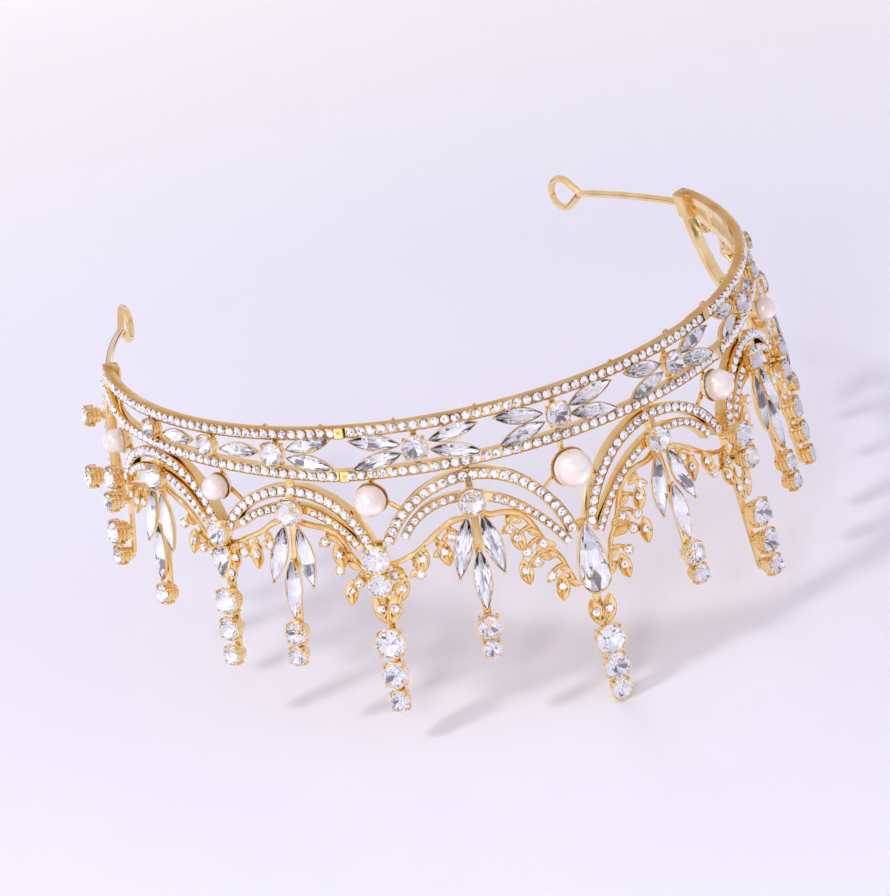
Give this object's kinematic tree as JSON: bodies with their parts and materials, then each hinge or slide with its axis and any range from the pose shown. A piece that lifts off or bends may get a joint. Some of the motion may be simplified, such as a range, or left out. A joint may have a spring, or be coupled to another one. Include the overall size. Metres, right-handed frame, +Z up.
{
  "type": "crown",
  "caption": "Open-backed bridal crown: a flared pavé band with arches, drop-shaped spikes, pearls, leaf vines and two wire tails with eyes.",
  "frame": {"origin": "on the crown's own axis, in the plane of the band's lower edge, at the middle of the head opening", "axes": "+Z up, from the band to the spikes as the crown is worn; the front spike faces -Y and the open back faces +Y; +X is the wearer's left; the part is mirror-symmetric about the plane X = 0"},
  "size_m": [0.1676, 0.1447, 0.0653],
  "materials": {
    "gold": "bright polished gold plating over a cast zinc alloy",
    "crystal": "clear cut crystal with a silver foil back",
    "pearl": "pearlescent lacquer over a bead"
  },
  "bodies": {
    "root": {"band_centre": "gold", "band_left": "gold", "band_right": "gold", "lap_tabs": "gold", "row1_stones": "crystal", "row2_stones": "crystal", "band_marquise_cups": "gold", "band_marquise_stones": "crystal", "band_round_cups": "gold", "band_round_stones": "crystal", "arches_centre": "gold", "arches_left": "gold", "arches_right": "gold", "end_arch_left": "gold", "end_arch_right": "gold", "arch_outer_stones": "crystal", "arch_inner_stones": "crystal", "end_arch_stones": "crystal", "pearls": "pearl", "pearl_pegs": "gold", "pearl_seats": "gold", "finial_centre": "gold", "finial_inner_left": "gold", "finial_inner_right": "gold", "finial_outer_left": "gold", "finial_outer_right": "gold", "finial_end_left": "gold", "finial_end_right": "gold", "finial_stones": "crystal", "pear_stones": "crystal", "leaf_stones": "crystal", "spray_inner_left": "gold", "spray_inner_right": "gold", "spray_outer_left": "gold", "spray_outer_right": "gold", "spray_end_left": "gold", "spray_end_right": "gold", "spray_marquise_stones": "crystal", "spray_round_stones": "crystal", "vines_centre": "gold", "vines_left": "gold", "vines_right": "gold", "vine_stones": "crystal", "end_block_left": "gold", "end_block_right": "gold", "tail_wire_left": "gold", "tail_wire_right": "gold", "sewing_loops": "gold"}
  },
  "joints": []
}
